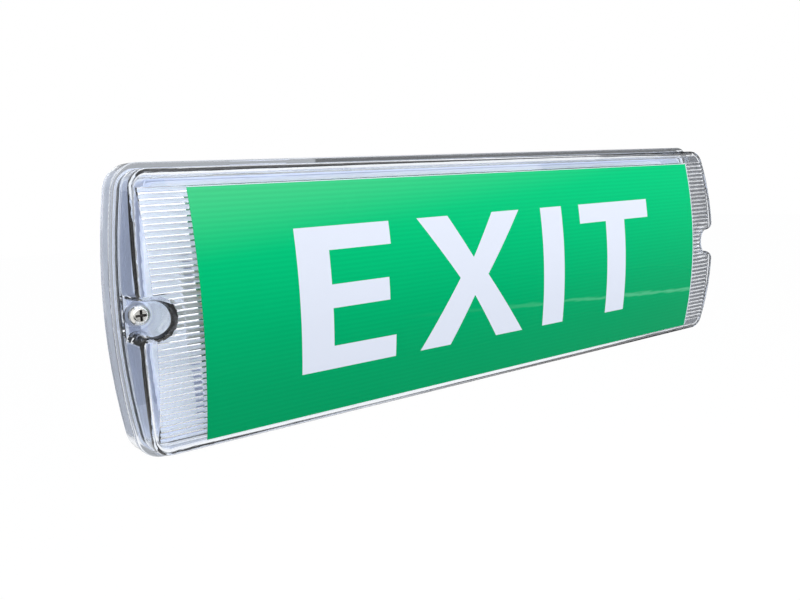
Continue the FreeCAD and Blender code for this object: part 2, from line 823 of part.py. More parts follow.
def build_cells():
    cells = []
    y = cell_axis_y()
    start = battery_x - battery_span() / 2
    for index in range(cell_count):
        x = start + index * (cell_length + cell_gap)
        x_shoulder = x + cell_length - cell_cap_height
        body = rod(cell_radius, Vector(x, y, battery_z), Vector(x_shoulder, y, battery_z))
        body = body.makeChamfer(cell_bevel, [e for e in body.Edges if isinstance(e.Curve, Part.Circle)])
        cap = rod(cell_cap_radius, Vector(x + 1, y, battery_z), Vector(x + cell_length, y, battery_z))
        cells.append(body.fuse(cap))
    return group(cells)


def build_sleeve():
    """Shrink sleeve round the cells, turned in a little at both ends."""
    y = cell_axis_y()
    half = battery_span() / 2 + sleeve_overhang
    inner = half - sleeve_wall

    def along(radius, reach):
        return rod(radius, Vector(battery_x - reach, y, battery_z), Vector(battery_x + reach, y, battery_z))

    tube = along(cell_radius + sleeve_wall, half)
    return tube.cut([along(cell_radius, inner), along(cell_radius - sleeve_turn_in, half + 1)])


def strap(x):
    """Nylon strap over the battery, with a foot on the floor either side."""
    y = cell_axis_y()
    inner = cell_radius + sleeve_wall + strap_gap
    outer = inner + strap_thickness
    half = centred(x, strap_width)
    hoop = rod(outer, Vector(half[0], y, battery_z), Vector(half[1], y, battery_z))
    legs = block(half, (y, y_floor), centred(battery_z, 2 * outer))
    feet = block(half, (y_floor - strap_foot_thickness, y_floor),
                 centred(battery_z, 2 * (outer + strap_foot)))
    opening = block((half[0] - 1, half[1] + 1), (y, y_floor + 1), centred(battery_z, 2 * inner))
    core = rod(inner, Vector(half[0] - 1, y, battery_z), Vector(half[1] + 1, y, battery_z))
    return fuse_all([hoop, legs, feet]).cut([core, opening])


def build_straps():
    return group([strap(battery_x + side * (cradle_x - strap_inset)) for side in (-1, 1)])


# ---------------------------------------------------------------- supply terminals
def terminal_places():
    return [terminal_x + (i - (terminal_poles - 1) / 2) * terminal_pitch for i in range(terminal_poles)]


def build_terminal_block():
    width = terminal_poles * terminal_pitch
    y_top = y_floor - terminal_depth
    body = block(centred(terminal_x, width), (y_top, y_floor), centred(terminal_z, terminal_height))
    y_wire = y_floor - terminal_wire_lift
    cuts = []
    for x in terminal_places():
        wire = block(centred(x, terminal_wire_width), (y_wire - terminal_wire_width, y_wire),
                     (terminal_z - terminal_height, terminal_z - terminal_screw_radius))
        divider = block(centred(x + terminal_pitch / 2, terminal_divider),
                        (y_top - 1, y_top + terminal_screw_sink), centred(terminal_z, 2 * terminal_height))
        well = pin_y(terminal_screw_radius * 1.2, x, terminal_z, y_top - 1, y_top + terminal_well_depth)
        cuts += [wire, divider, well]
    return body.cut(cuts)


def build_terminal_screws():
    y_top = y_floor - terminal_depth + terminal_screw_sink
    screws = []
    for x in terminal_places():
        screw = pin_y(terminal_screw_radius, x, terminal_z, y_top, y_top + terminal_screw_length)
        slot = block(centred(x, 3 * terminal_screw_radius), (y_top - 1, y_top + terminal_screw_length / 4),
                     centred(terminal_z, terminal_screw_radius * 0.4))
        screws.append(screw.cut(slot))
    return group(screws)


# ---------------------------------------------------------------- test switch and indicator
z_flange = z_pad - switch_flange_thickness
z_switch_top = z_flange + switch_depth
z_guide = z_flange + guide_length
z_tip = z_flange - button_stand
z_shoulder = z_guide + 0.3
z_bridge = z_switch_top - 1.2 - 0.5 - button_travel - bridge_thickness - 1.0


def build_switch_body():
    """Threaded bush with a flange outside, a guide for the button and a chamber for its spring."""
    body = pin_z(switch_radius, switch_x, switch_y, z_flange, z_switch_top)
    flange = pin_z(switch_flange_radius, switch_x, switch_y, z_flange, z_pad)
    rim = [e for e in flange.Edges if e.BoundBox.ZMax < z_flange + 0.01]
    body = body.fuse(flange.makeFillet(0.6, rim))
    guide = pin_z(button_radius + button_clearance, switch_x, switch_y, z_flange - 1, z_guide + 0.5)
    chamber = pin_z(shoulder_radius + button_clearance, switch_x, switch_y, z_guide, z_switch_top - 1.2)
    holes = [pin_z(contact_radius, switch_x + s * contact_spread, switch_y,
                   z_switch_top - 3, z_switch_top + 1) for s in (-1, 1)]
    return body.cut([guide, chamber, *holes])


def build_switch_nut():
    nut = Part.makePolygon([
        Vector(switch_x + switch_nut_radius * math.cos(math.radians(60 * i)),
               switch_y + switch_nut_radius * math.sin(math.radians(60 * i)), z_pad_inside)
        for i in range(7)])
    nut = Part.Face(nut).extrude(Vector(0, 0, switch_nut_thickness))
    z_nut_top = z_pad_inside + switch_nut_thickness
    return nut.cut(pin_z(switch_radius, switch_x, switch_y, z_pad_inside - 1, z_nut_top + 1))


def build_switch_contacts():
    """Two pins that the bridge joins when the button is pushed in."""
    z_low = z_bridge + bridge_thickness + button_travel + 0.3
    return group([pin_z(contact_radius, switch_x + s * contact_spread, switch_y, z_low, z_switch_top + 5)
                  for s in (-1, 1)])


def build_button():
    tip = pin_z(button_radius, switch_x, switch_y, z_tip, z_shoulder + 0.5)
    rim = [e for e in tip.Edges if e.BoundBox.ZMax < z_tip + 0.01]
    tip = tip.makeFillet(0.8, rim)
    shoulder = pin_z(shoulder_radius, switch_x, switch_y, z_shoulder, z_shoulder + shoulder_thickness)
    stem = pin_z(stem_radius, switch_x, switch_y, z_shoulder + 1, z_bridge)
    return fuse_all([tip, shoulder, stem])


def build_bridge():
    return pin_z(bridge_radius, switch_x, switch_y, z_bridge, z_bridge + bridge_thickness)


def build_spring():
    """Return spring between the button's shoulder and the chamber's top."""
    z_low = z_shoulder + shoulder_thickness + spring_wire_radius
    z_high = z_switch_top - 1.2 - spring_wire_radius
    radius = (shoulder_radius + bridge_radius) / 2
    helix = Part.makeHelix((z_high - z_low) / spring_turns, z_high - z_low, radius)
    corner = 2 * math.pi / spring_sides
    size = spring_wire_radius * math.sqrt(corner / math.sin(corner))
    turns = [corner * (side + 0.5) for side in range(spring_sides + 1)]
    points = [Vector(radius + size * math.cos(a), 0, size * math.sin(a)) for a in turns]
    section = Part.makePolygon(points)
    spring = Part.Wire(helix.Edges).makePipeShell([section], True, True)
    spring.translate(Vector(switch_x, switch_y, z_low))
    return spring


def build_indicator():
    """Charge indicator: a domed green lens in the underside."""
    z_low = z_pad - 2.0
    body = pin_z(indicator_radius, indicator_x, switch_y, z_low - 1.5, z_pad_inside + 3)
    tip = [e for e in body.Edges if e.BoundBox.ZMax < z_low - 1.49]
    return body.makeFillet(indicator_radius * 0.8, tip)


def build_indicator_holder():
    bush = pin_z(indicator_holder_radius, indicator_x, switch_y, z_pad - 1.5, z_pad_inside + 1.5)
    flange = pin_z(indicator_holder_radius + 1.5, indicator_x, switch_y, z_pad - 1.5, z_pad)
    return bush.fuse(flange).cut(pin_z(indicator_radius, indicator_x, switch_y, z_pad - 5, z_pad_inside + 5))


PARTS = {
    "clear_cover": build_cover,
    "legend_film": build_film,
    "back_box": build_box,
    "cover_seal": build_seal,
    "cover_screws": lambda: both_ends(cover_screw),
    "screw_washers": lambda: both_ends(sealing_washer),
    "screw_inserts": lambda: both_ends(threaded_insert),
    "supply_grommet": build_grommet,
    "blanking_plug": build_plug,
    "gear_tray": build_tray,
    "tray_screws": build_tray_screws,
    "led_board": build_strip,
    "led_chips": build_leds,
    "led_board_screws": build_strip_screws,
    "driver_board": build_driver_board,
    "driver_screws": build_driver_screws,
    "transformer_core": build_transformer,
    "transformer_bobbin": build_bobbin,
    "capacitors": build_capacitors,
    "fuse": build_fuse,
    "fuse_clips": build_fuse_clips,
    "driver_chips": build_chips,
    "lead_headers": build_headers,
    "battery_cells": build_cells,
    "battery_sleeve": build_sleeve,
    "battery_straps": build_straps,
    "terminal_block": build_terminal_block,
    "terminal_screws": build_terminal_screws,
    "switch_body": build_switch_body,
    "switch_nut": build_switch_nut,
    "switch_contacts": build_switch_contacts,
    "switch_spring": build_spring,
    "test_button": build_button,
    "contact_bridge": build_bridge,
    "indicator_lens": build_indicator,
    "indicator_holder": build_indicator_holder,
}


def main():
    os.makedirs("parts", exist_ok=True)
    for name, build in PARTS.items():
        shape = build()
        solids = len(shape.Solids)
        volume = shape.Volume / 1000
        print(f"{name:20s} {solids:3d} solid(s) {volume:9.2f} cm3 {'ok' if shape.isValid() else 'NOT VALID'}")
        shape.exportStep(f"parts/{name}.step")


main()
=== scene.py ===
# %% [markdown]
# # A weatherproof exit light
# The real light is a shallow plastic box on a wall, closed by a moulded clear cover. A green
# printed film is stuck on the cover's arched front. This lesson takes the finished parts, which
# come in as a fixed frame, and gives each one the finish it has on the bench: clear moulded
# plastic, printed film, plated screws, rubber, boards and a battery.

import json
import math

import bmesh
import bpy
from mathutils import Matrix, Vector
from mathutils.geometry import delaunay_2d_cdt


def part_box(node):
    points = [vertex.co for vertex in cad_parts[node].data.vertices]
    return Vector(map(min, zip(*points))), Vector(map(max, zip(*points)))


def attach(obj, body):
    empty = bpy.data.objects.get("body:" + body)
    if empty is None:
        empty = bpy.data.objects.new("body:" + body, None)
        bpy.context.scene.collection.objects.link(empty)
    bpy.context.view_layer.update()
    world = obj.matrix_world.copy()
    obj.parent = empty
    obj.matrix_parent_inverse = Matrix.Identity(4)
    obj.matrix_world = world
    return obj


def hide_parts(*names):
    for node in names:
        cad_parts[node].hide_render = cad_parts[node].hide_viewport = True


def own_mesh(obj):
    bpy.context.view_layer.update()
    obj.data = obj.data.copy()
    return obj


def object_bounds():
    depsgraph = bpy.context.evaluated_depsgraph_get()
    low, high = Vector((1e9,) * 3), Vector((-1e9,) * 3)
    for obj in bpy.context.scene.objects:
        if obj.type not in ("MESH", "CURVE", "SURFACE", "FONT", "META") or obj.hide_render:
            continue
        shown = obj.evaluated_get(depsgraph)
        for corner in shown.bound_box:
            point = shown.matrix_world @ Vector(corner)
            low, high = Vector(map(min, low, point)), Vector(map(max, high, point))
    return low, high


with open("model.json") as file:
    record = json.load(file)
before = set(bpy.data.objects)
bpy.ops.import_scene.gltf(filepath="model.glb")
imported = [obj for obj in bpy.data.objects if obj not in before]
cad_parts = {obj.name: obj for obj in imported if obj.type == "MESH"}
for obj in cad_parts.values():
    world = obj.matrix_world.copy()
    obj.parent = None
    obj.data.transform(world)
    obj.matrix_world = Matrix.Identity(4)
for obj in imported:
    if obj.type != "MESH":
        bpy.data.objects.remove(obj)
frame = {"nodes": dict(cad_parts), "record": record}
nodes = frame["nodes"]
cad_low, cad_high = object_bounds()
mm = 0.001
print("pieces:", len(nodes), "size in mm:", [round(v / mm, 1) for v in cad_high - cad_low])

# %% [markdown]
# ## Where the camera stands
# The light is looked at from its left and from a little above, close enough for the near end to
# look clearly larger than the far one. A place, a heading, a pitch and a roll say that plainly,
# and the rotation is made from them in that order.

# %% Camera
camera_place = Vector((-266.6, -341.5, 43.6)) * mm
camera_heading = math.radians(36.5)
camera_pitch = math.radians(-8.26)
camera_roll = math.radians(-2.86)
camera_data = bpy.data.cameras.new("camera")
camera_data.lens = 36.66
camera_data.sensor_width = 36.0
camera_data.clip_start = 0.01
camera = bpy.data.objects.new("camera", camera_data)
heading = Matrix.Rotation(-camera_heading, 4, "Z")
pitch = Matrix.Rotation(math.pi / 2 + camera_pitch, 4, "X")
roll = Matrix.Rotation(camera_roll, 4, "Z")
camera.matrix_world = Matrix.Translation(camera_place) @ heading @ pitch @ roll
bpy.context.scene.collection.objects.link(camera)
bpy.context.scene.camera = camera
print("camera is", round((camera_place - (cad_low + cad_high) / 2).length / mm),
      "mm from the middle")

# %% [markdown]
# ## Short words for what every tree needs
# All finishes are small trees of nodes. A few short functions add a node and link it, map one
# range of values onto another, blend two colours, and give a point's place on the object. The
# steps below are then read as what they do, not as lists of sockets.

# %% Node helpers
white = (1.0, 1.0, 1.0, 1.0)
black = (0.0, 0.0, 0.0, 1.0)


def add(tree, kind, links=(), **values):
    """Adds a node, sets its attributes, and links or sets its inputs by name or number."""
    node = tree.nodes.new(kind)
    for key, value in values.items():
        setattr(node, key, value)
    for key, source in links:
        if isinstance(source, bpy.types.NodeSocket):
            tree.links.new(source, node.inputs[key])
        else:
            node.inputs[key].default_value = source
    return node


def math_node(tree, operation, first, second=0.0):
    node = add(tree, "ShaderNodeMath", [(0, first), (1, second)], operation=operation)
    return node.outputs[0]


def ramp(tree, value, start, end, low=0.0, high=1.0, smooth=False):
    """Maps start to end onto low to high, and holds the result beyond both ends."""
    node = add(tree, "ShaderNodeMapRange", links=[
        ("Value", value), ("From Min", start), ("From Max", end), ("To Min", low),
        ("To Max", high)], interpolation_type="SMOOTHSTEP" if smooth else "LINEAR")
    return node.outputs["Result"]


def blend(tree, share, first, second, blend_type="MIX"):
    """The first colour with the second laid over it, by a share from 0 to 1."""
    node = add(tree, "ShaderNodeMix", [(0, share), (6, first), (7, second)],
               data_type="RGBA", blend_type=blend_type)
    return node.outputs[2]


def coordinate(tree, kind="Object"):
    return add(tree, "ShaderNodeTexCoord").outputs[kind]


def parts_of(tree, vector):
    """A vector's X, Y and Z."""
    return add(tree, "ShaderNodeSeparateXYZ", [(0, vector)]).outputs


def show_instead(material, share, usual, shown):
    """For this share of the rays the material is the shown shader, otherwise the usual one."""
    tree = material.node_tree
    either = add(tree, "ShaderNodeMixShader", [
        (0, share), (1, usual.outputs[0]), (2, shown.outputs[0])])
    tree.links.new(either.outputs[0], tree.nodes["Material Output"].inputs["Surface"])
    return material


def rays_that_see(tree, *kinds):
    """1 for a ray of one of these kinds, otherwise 0."""
    path = add(tree, "ShaderNodeLightPath")
    seen, *rest = (path.outputs[kind] for kind in kinds)
    for other in rest:
        seen = math_node(tree, "MAXIMUM", seen, other)
    return seen


print("node helpers: 8")

# %% [markdown]
# ## Surface detail that several finishes share
# Moulded plastic, rubber, tinned metal and printed film all have two things in common: a fine
# grain that scatters the highlights, and a slow drift in tone. One node group makes both from the
# object's own coordinates, so they stay on the surface from every side. It puts out values only,
# and each material decides what they do.

# %% Grain group


def grain_group():
    tree = bpy.data.node_groups.new("surface_grain", "ShaderNodeTree")
    for label, kind, value in (("Grain Size", "NodeSocketFloat", 1.0),
                               ("Drift Size", "NodeSocketFloat", 40.0),
                               ("Stretch", "NodeSocketVector", (1.0, 1.0, 1.0))):
        socket = tree.interface.new_socket(name=label, in_out="INPUT", socket_type=kind)
        socket.default_value = value
    for label in ("Grain", "Drift"):
        tree.interface.new_socket(name=label, in_out="OUTPUT", socket_type="NodeSocketFloat")
    start, end = tree.nodes.new("NodeGroupInput"), tree.nodes.new("NodeGroupOutput")
    stretched = add(tree, "ShaderNodeVectorMath", operation="MULTIPLY", links=[
        (0, coordinate(tree)), (1, start.outputs["Stretch"])])
    for label, detail in (("Grain", 3.0), ("Drift", 2.0)):
        scale = math_node(tree, "DIVIDE", 1.0 / mm, start.outputs[label + " Size"])
        noise = add(tree, "ShaderNodeTexNoise", [
            ("Vector", stretched.outputs[0]), ("Scale", scale), ("Detail", detail)])
        tree.links.new(noise.outputs["Fac"], end.inputs[label])
    return tree


grain = grain_group()
print("group:", grain.name, [s.name for s in grain.interface.items_tree])

# %% [markdown]
# ## A recipe that both opaque and clear finishes start from
# Most pieces inside the box are one moulded or stamped colour. Their recipe mixes a darker and a
# lighter shade by the slow drift, varies the roughness by the same drift, and raises the fine
# grain with a bump. The numbers that stay the same all over a piece are set on the shader itself.

# %% The common start of a finish


def start_material(name):
    material = bpy.data.materials.new(name)
    material.use_nodes = True
    return material, material.node_tree, material.node_tree.nodes["Principled BSDF"]


def shade(colour, factor):
    return tuple(min(1.0, c * factor) for c in colour) + (1.0,)


def textured(name, colour, tone, rough, *, rough_drift, grain_mm, drift_mm, bump_mm,
             stretch=(1, 1, 1)):
    """A material whose colour and roughness drift slowly and whose fine grain is raised."""
    material, tree, surface = start_material(name)
    texture = add(tree, "ShaderNodeGroup", node_tree=grain, links=[
        ("Grain Size", grain_mm), ("Drift Size", drift_mm), ("Stretch", stretch)])
    drift = texture.outputs["Drift"]
    # The noise runs from 0 to 1, but most of it lies from 0.3 to 0.7.
    rough_now = ramp(tree, drift, 0.3, 0.7, rough * (1 - rough_drift), rough * (1 + rough_drift))
    colour_now = blend(tree, drift, shade(colour, 1 - tone), shade(colour, 1 + tone))
    bump = add(tree, "ShaderNodeBump", [
        ("Height", texture.outputs["Grain"]), ("Distance", bump_mm * mm), ("Strength", 1.0)])
    for source, label in ((colour_now, "Base Color"), (rough_now, "Roughness"),
                          (bump.outputs["Normal"], "Normal")):
        tree.links.new(source, surface.inputs[label])
    return material, tree, surface


print("finishes share one start: colour, roughness and bump")

# %% [markdown]
# ## Opaque finishes
# The white tray and the walls inside the box have a weak glow. It stands for the light that
# bounces about inside a closed white box, of which too few paths find their way in through the
# cover. A mask keeps it off the outside: it looks at which way a face points and where it is.

# %% Opaque finishes
strip_light = (0.82, 0.88, 1.0, 1.0)
inner_from, inner_full = -0.012, -0.022     # a face's place along its own direction, metres
rim_from, rim_full = -18 * mm, -34 * mm     # the rim's depth range that joins in


def on_front_faces(tree):
    """1 on faces that look forwards or sideways, falling off on those that look to the wall."""
    normal = parts_of(tree, add(tree, "ShaderNodeNewGeometry").outputs["Normal"])
    return ramp(tree, normal["Y"], 0.5, 0.2, low=0.1)


def on_inner_walls(tree):
    """1 on walls that look towards the box's middle line, and on the rim's front; 0 outside."""
    place, normal = coordinate(tree), add(tree, "ShaderNodeNewGeometry").outputs["Normal"]
    flat = [add(tree, "ShaderNodeVectorMath", [(0, source), (1, (1.0, 0.0, 1.0))],
                operation="MULTIPLY").outputs[0] for source in (place, normal)]
    outwards = add(tree, "ShaderNodeVectorMath", [(0, flat[0]), (1, flat[1])],
                   operation="DOT_PRODUCT").outputs["Value"]
    inner = ramp(tree, outwards, inner_from, inner_full)
    front = ramp(tree, parts_of(tree, normal)["Y"], -0.5, -0.8)
    rim = ramp(tree, parts_of(tree, place)["Y"], rim_from, rim_full)
    return math_node(tree, "MAXIMUM", inner, math_node(tree, "MULTIPLY", front, rim))


def opaque(name, colour, rough, grain_mm=0.4, drift_mm=18.0, tone=0.06, bump_mm=0.01, metal=0.0,
           coat=0.0, stretch=(1, 1, 1), shine=0.5, glow=0.0, glow_where=None):
    material, tree, surface = textured(
        name, colour, tone, rough, rough_drift=0.15, grain_mm=grain_mm, drift_mm=drift_mm,
        bump_mm=bump_mm, stretch=stretch)
    for label, value in (("Metallic", metal), ("Coat Weight", coat),
                         ("Specular IOR Level", shine)):
        surface.inputs[label].default_value = value
    if glow:
        lit = blend(tree, glow_where(tree), black, strip_light)
        tree.links.new(lit, surface.inputs["Emission Color"])
        surface.inputs["Emission Strength"].default_value = glow
    return material


recipes = {
    "white_housing": ((0.78, 0.82, 0.92), 0.42, dict(grain_mm=0.5, bump_mm=0.03, glow=0.20,
                                                     glow_where=on_inner_walls)),
    "white_reflector": ((0.82, 0.86, 0.95), 0.30, dict(grain_mm=1.5, drift_mm=50, glow=0.24,
                                                       glow_where=on_front_faces)),
    "silicone_seal": ((0.66, 0.65, 0.62), 0.55, dict(grain_mm=0.3, tone=0.1)),
    "dark_rubber": ((0.035, 0.035, 0.036), 0.62, dict(grain_mm=0.25, tone=0.3, bump_mm=0.02)),
    "plated_screw": ((0.74, 0.73, 0.70), 0.2, dict(grain_mm=0.6, drift_mm=4, metal=1.0)),
    "insert_brass": ((0.78, 0.58, 0.25), 0.28, dict(grain_mm=0.3, drift_mm=4, metal=1.0)),
    "spring_steel": ((0.55, 0.55, 0.54), 0.25, dict(grain_mm=0.2, drift_mm=3, metal=1.0)),
    "board_white": ((0.82, 0.82, 0.80), 0.35, dict(grain_mm=0.35, bump_mm=0.01)),
    "board_green": ((0.03, 0.20, 0.08), 0.3, dict(grain_mm=0.5, drift_mm=6, tone=0.25, coat=0.4)),
    "led_phosphor": ((0.86, 0.72, 0.22), 0.3, dict(grain_mm=0.2, drift_mm=1)),
    "ferrite": ((0.07, 0.07, 0.08), 0.5, dict(grain_mm=0.5, tone=0.3, bump_mm=0.04)),
    "winding_tape": ((0.80, 0.60, 0.10), 0.3, dict(grain_mm=0.8, stretch=(8, 1, 1))),
    "capacitor_sleeve": ((0.03, 0.04, 0.09), 0.25, dict(tone=0.3, coat=0.3)),
    "chip_black": ((0.02, 0.02, 0.02), 0.55, dict(grain_mm=0.15, tone=0.4, bump_mm=0.02)),
    "header_white": ((0.76, 0.75, 0.70), 0.45, dict(grain_mm=0.4, tone=0.08)),
    "cell_steel": ((0.60, 0.60, 0.60), 0.3, dict(grain_mm=0.2, metal=1.0, stretch=(0.1, 1, 1))),
    "battery_wrap": ((0.05, 0.17, 0.50), 0.2, dict(grain_mm=1.2, drift_mm=8, coat=0.5)),
    "strap_nylon": ((0.72, 0.71, 0.66), 0.4, dict(grain_mm=0.5, tone=0.08)),
    "switch_black": ((0.03, 0.03, 0.03), 0.3, dict(grain_mm=0.4, tone=0.3)),
    "button_red": ((0.55, 0.03, 0.02), 0.3, dict(grain_mm=0.5, tone=0.1)),
}
finishes = {name: opaque(name, colour, rough, **rest)
            for name, (colour, rough, rest) in recipes.items()}
print("opaque finishes:", len(finishes))

# %% [markdown]
# ## Clear moulded plastic
# The cover is injection-moulded polycarbonate, clear with a cold tint. It bends light like glass,
# so the shader keeps a plain full transmission and the plastic's refractive index, and its
# look comes from the real walls, ribs and edges of the mesh. Moulding leaves faint flow waves,
# which a weak, slow bump gives. A bent wall would shut the lamps out, as paths through it hardly
# ever meet a lamp. So for shadow rays alone the wall is a plain window that keeps part of them.

# %% Clear finishes
lamp_share = 0.68             # how much of the lamps' light each face of a clear wall lets by
flow_drift_mm = 30.0


def clear(name, colour, ior, rough, wave_mm, wave_bump_mm, tone=0.015):
    material, tree, surface = textured(
        name, colour, tone, rough, rough_drift=0.4, grain_mm=wave_mm, drift_mm=flow_drift_mm,
        bump_mm=wave_bump_mm)
    surface.inputs["Transmission Weight"].default_value = 1.0
    surface.inputs["IOR"].default_value = ior
    window = add(tree, "ShaderNodeBsdfTransparent", [("Color", shade(colour, lamp_share))])
    return show_instead(material, rays_that_see(tree, "Is Shadow Ray"), surface, window)


clear_recipes = {
    "clear_polycarbonate": ((0.925, 0.952, 1.0), 1.43, 0.03, 9.0, 0.01),
    "fuse_glass": ((0.93, 0.95, 0.95), 1.5, 0.02, 5.0, 0.005),
    "lens_green": ((0.12, 0.70, 0.25), 1.49, 0.05, 3.0, 0.01, 0.05),
}
for name, recipe in clear_recipes.items():
    finishes[name] = clear(name, *recipe)
print("clear finishes:", len(clear_recipes))

# %% [markdown]
# ## Hand the finishes to the parts
# Each part already names the finish it takes, so one loop gives every part its material.

# %% Dress the parts


def dress(node, material):
    materials = nodes[node].data.materials
    materials.clear()
    materials.append(material)


dressed = [entry for entry in frame["record"]["subparts"] if entry["material_slot"] in finishes]
for entry in dressed:
    dress(entry["node"], finishes[entry["material_slot"]])
print("dressed:", len(dressed), "parts")

# %% [markdown]
# The two cover screws are the only bright metal in sight. Their cross recess is darkened with
# painted shade, so it reads as a dark cross. The recess is part of the mesh, and its place on the
# head says where the painted shade goes.

# %% Painted shade in the cover screws' cross recess
screws_low, screws_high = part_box("cover_screws")
head_radius = (screws_high.z - screws_low.z) / 2
screw_axis_x = screws_high.x - head_radius
recess_half_width, recess_half_span = 0.5 * mm, 2.1 * mm
# painted shade laid in the cross recess
painted_recess_shade = (0.09, 0.085, 0.08, 1.0)


def shaded_recess_screw():
    """Plating with painted shade on the two recess arms of each head; both heads are one mesh, so X
    counts both ways.
    """
    material = opaque("cover_screw_plating", (0.74, 0.73, 0.70), 0.16, grain_mm=0.6, drift_mm=4,
                      metal=1.0)
    tree = material.node_tree
    surface = tree.nodes["Principled BSDF"]
    plating = surface.inputs["Base Color"].links[0].from_socket
    place = parts_of(tree, coordinate(tree))
    from_middle = math_node(tree, "ABSOLUTE", place["X"])
    across = math_node(tree, "ABSOLUTE", math_node(tree, "SUBTRACT", from_middle, screw_axis_x))
    along = math_node(tree, "ABSOLUTE", place["Z"])
    arms = [math_node(tree, "MULTIPLY", math_node(tree, "LESS_THAN", narrow, recess_half_width),
                      math_node(tree, "LESS_THAN", wide, recess_half_span))
            for narrow, wide in ((across, along), (along, across))]
    # painted shade: the recess arms are darkened
    recess_shaded = blend(tree, math_node(tree, "MAXIMUM", *arms), plating, painted_recess_shade)
    tree.links.new(recess_shaded, surface.inputs["Base Color"])
    return material


dress("cover_screws", shaded_recess_screw())
print("screw axis at x, mm:", round(screw_axis_x / mm, 2))

# %% [markdown]
# ## The printed film
# The film is one sheet of white plastic, printed green up to a thin border, with the word left
# white. So it is made as one thin sheet here too. Its fields are drawn flat, as outlines, and cut
# together with a set of level lines, so that the sheet can then bend round the arched front.

# %% Shapes on the film
film_low, film_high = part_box("legend_film")
film_middle_z = (film_low.z + film_high.z) / 2
half_width = (film_high.x - film_low.x) / 2 / mm
half_film = (film_high.z - film_low.z) / 2 / mm
cap_height = 58.2
half_cap = cap_height / 2
arm = 9.6                     # thickness of the level strokes
stem = 15.0                   # width of the upright ones
border_right = 0.5
border_top = 0.25


def rectangle(left, bottom, right, top):
    return [(left, bottom), (right, bottom), (right, top), (left, top)]


def letter_e(left, width):
    """Its middle stroke lies above half height; the two upper strokes end short of the lowest."""
    middle_top, middle_short, top_short = 5.7, 3.0, 0.8
    inner, right = left + stem, left + width
    return [
        (left, -half_cap), (right, -half_cap), (right, -half_cap + arm), (inner, -half_cap + arm),
        (inner, middle_top - arm), (right - middle_short, middle_top - arm),
        (right - middle_short, middle_top), (inner, middle_top), (inner, half_cap - arm),
        (right - top_short, half_cap - arm), (right - top_short, half_cap), (left, half_cap)]


def letter_x(middle, width):
    """Two crossing strokes; the feet reach a little wider than the arms."""
    half = width / 2
    foot = half + 0.7
    level = 17.4                          # width of a stroke along the level edges
    waist, waist_z = 8.5, 0.9             # where the outer edges meet beside the crossing
    upper_notch, lower_notch = 19.6, 21.2
    return [
        (middle - half, half_cap), (middle - half + level, half_cap),
        (middle, half_cap - upper_notch), (middle + half - level, half_cap),
        (middle + half, half_cap), (middle + waist, waist_z),
        (middle + foot, -half_cap), (middle + foot - level, -half_cap),
        (middle, -half_cap + lower_notch), (middle - foot + level, -half_cap),
        (middle - foot, -half_cap), (middle - waist, waist_z)]


def letter_t(left, width):
    middle = left + width / 2
    return [
        (left, half_cap - arm), (middle - stem / 2, half_cap - arm), (middle - stem / 2, -half_cap),
        (middle + stem / 2, -half_cap), (middle + stem / 2, half_cap - arm),
        (left + width, half_cap - arm), (left + width, half_cap), (left, half_cap)]


letters = [letter_e(-110.5, 46.4), letter_x(-19.0, 61.6),
           rectangle(26.5, -half_cap, 41.3, half_cap), letter_t(54.3, 55.0)]
sheet_outline = rectangle(-half_width, -half_film, half_width, half_film)
printed_outline = rectangle(-half_width, -half_film, half_width - border_right,
                            half_film - border_top)
print("film in mm:", round(2 * half_width, 1), "by", round(2 * half_film, 1))

# %% [markdown]
# The cut lines make the faces small and regular. Level lines let the sheet follow the arch, and
# upright ones keep long thin triangles, which would shade unevenly, from forming.

# %% Cut the fields and bend the sheet
level_gap, upright_gap = 2.0, 9.0         # distance between cut lines
overshoot = 1.0                           # how far they run past the sheet
join_within = 0.0005                      # points nearer than this are one
sharp_turn = math.radians(40)
film_thickness = 0.16


def arch_y(z, radius, axis_y):
    return axis_y - math.sqrt(radius ** 2 - z ** 2)


def anticlockwise(outline):
    """The cut below takes an outline as filled only when it runs anticlockwise."""
    following = outline[1:] + outline[:1]
    area = sum(x * next_z - next_x * z for (x, z), (next_x, next_z) in zip(outline, following))
    return outline if area > 0 else outline[::-1]


def cut_fields(fields):
    """Flat faces of all fields, cut at the lines. Gives points and (face, fields it is in)."""
    points, edges, faces = [], [], []
    for outline in (anticlockwise(field) for field in fields):
        first = len(points)
        points += outline
        faces.append(list(range(first, len(points))))
    for half_along, half_across, gap, upright in ((half_width, half_film, level_gap, False),
                                                  (half_film, half_width, upright_gap, True)):
        lines = int(2 * half_across / gap)
        for line in range(1, lines):
            place = -half_across + line * 2 * half_across / lines
            edges.append((len(points), len(points) + 1))
            ends = [(-half_along - overshoot, place), (half_along + overshoot, place)]
            points += [end[::-1] for end in ends] if upright else ends
    flat = [Vector(p) for p in points]
    out_points, _, out_faces, _, _, origins = delaunay_2d_cdt(flat, edges, faces, 1, join_within)
    return out_points, [(face, origin) for face, origin in zip(out_faces, origins) if 0 in origin]


